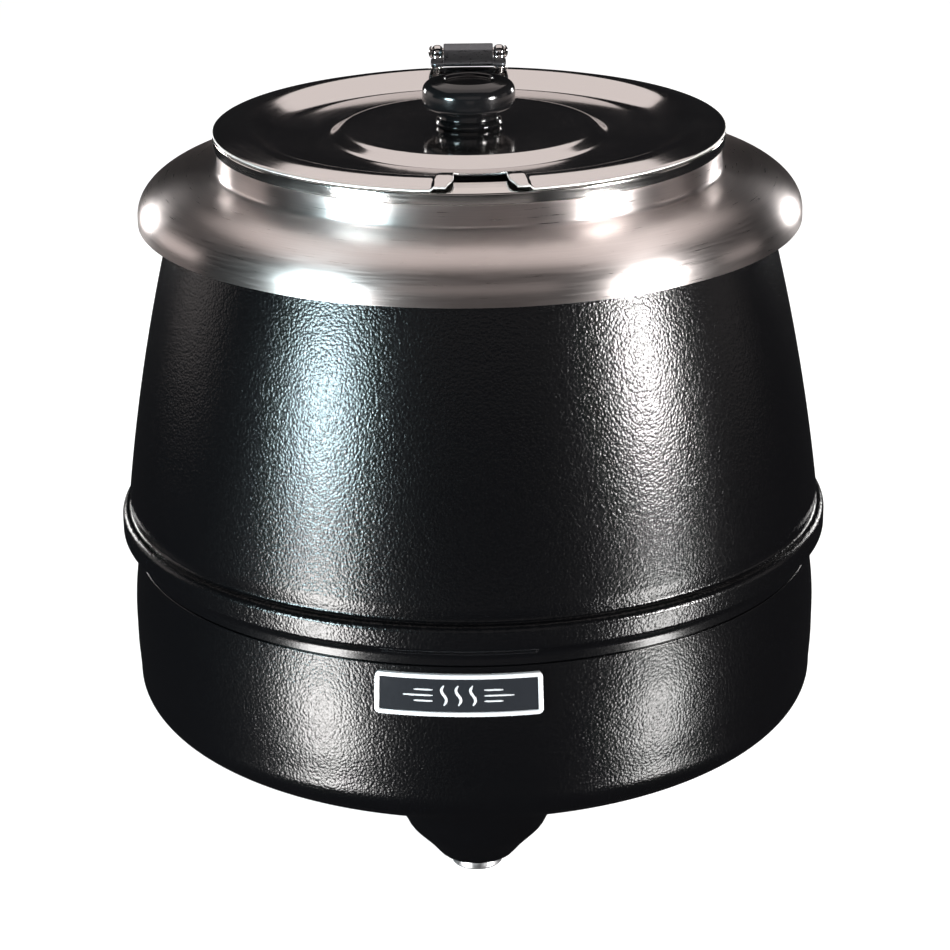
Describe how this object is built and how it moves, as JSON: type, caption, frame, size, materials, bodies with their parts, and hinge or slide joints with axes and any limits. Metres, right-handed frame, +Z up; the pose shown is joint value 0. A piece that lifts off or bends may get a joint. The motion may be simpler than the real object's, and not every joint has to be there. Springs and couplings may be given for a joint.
{
  "type": "soup kettle",
  "caption": "Round electric bain-marie soup kettle with a black shell, lift-out pot, loose stainless collar and hinged lid with a ladle notch.",
  "frame": {"origin": "centre of the plane that the three feet stand on, on the kettle's axis", "axes": "+Z up along the kettle's axis, the front with the name plate faces -Y, +X to the right seen from the front"},
  "size_m": [0.345, 0.3623, 0.3563],
  "materials": {
    "painted_black": "textured semi-gloss powder coat",
    "zinc_steel": "zinc plated",
    "foot_grey": "satin grey",
    "badge_silver": "satin raised frame",
    "badge_black": "black enamel",
    "satin_stainless": "satin",
    "mineral_wool": "fibrous",
    "aluminium_plate": "cast",
    "element_sheath": "heat darkened",
    "copper": "drawn copper",
    "phenolic_brown": "moulded",
    "ivory_plastic": "moulded",
    "black_plastic": "moulded, fine grain",
    "gloss_black": "polished phenolic",
    "amber_lens": "translucent amber",
    "brass_stud": "turned",
    "lead_insulation": "silicone sleeve",
    "brushed_stainless": "brushed round the axis",
    "mirror_stainless": "mirror polished stainless",
    "dark_satin_steel": "satin, dark"
  },
  "bodies": {
    "base": {"upper_shell": "painted_black", "lower_shell": "painted_black", "base_cover": "painted_black", "base_cover_screws": "zinc_steel", "shell_screws": "zinc_steel", "feet": "foot_grey", "foot_nuts": "zinc_steel", "badge_frame": "badge_silver", "badge_plate": "badge_black", "badge_pins": "zinc_steel", "water_pan": "satin_stainless", "insulation_ring": "mineral_wool", "heat_plate": "aluminium_plate", "heating_element": "element_sheath", "clamp_plate": "zinc_steel", "clamp_studs": "zinc_steel", "clamp_nuts": "zinc_steel", "thermal_cutout": "phenolic_brown", "sensor_bulb": "copper", "capillary_tube": "copper", "thermostat": "ivory_plastic", "thermostat_screws": "zinc_steel", "dial_bezel": "black_plastic", "pilot_lamp_lens": "amber_lens", "pilot_lamp_body": "ivory_plastic", "cable_gland": "black_plastic", "gland_nut": "black_plastic", "terminal_block": "ivory_plastic", "terminal_screws": "zinc_steel", "earth_stud": "brass_stud", "internal_leads": "lead_insulation"},
    "pot": {"food_pot": "satin_stainless"},
    "collar": {"collar": "brushed_stainless", "locating_ring": "satin_stainless", "hinge_bracket": "mirror_stainless", "bracket_rivets": "mirror_stainless", "hinge_pin": "mirror_stainless"},
    "lid": {"lid": "mirror_stainless", "hinge_strap": "dark_satin_steel", "strap_rivets": "mirror_stainless", "lid_knob": "gloss_black", "knob_washer": "zinc_steel", "knob_screw": "zinc_steel"},
    "dial": {"thermostat_shaft": "zinc_steel", "control_knob": "gloss_black"}
  },
  "joints": [
    {"name": "pot_lift", "type": "slide", "parent": "base", "child": "pot", "axis": [0, 0, 1], "range_m": [0, 0.26]},
    {"name": "collar_lift", "type": "slide", "parent": "pot", "child": "collar", "axis": [0, 0, 1], "range_m": [0, 0.06]},
    {"name": "lid_hinge", "type": "hinge", "parent": "collar", "child": "lid", "pos_m": [0, 0.1275, 0.341], "axis": [-1, 0, 0], "range_deg": [0, 100]},
    {"name": "dial_turn", "type": "hinge", "parent": "base", "child": "dial", "pos_m": [0, 0.1706, 0.084], "axis": [0, -1, 0], "range_deg": [0, 300]}
  ]
}
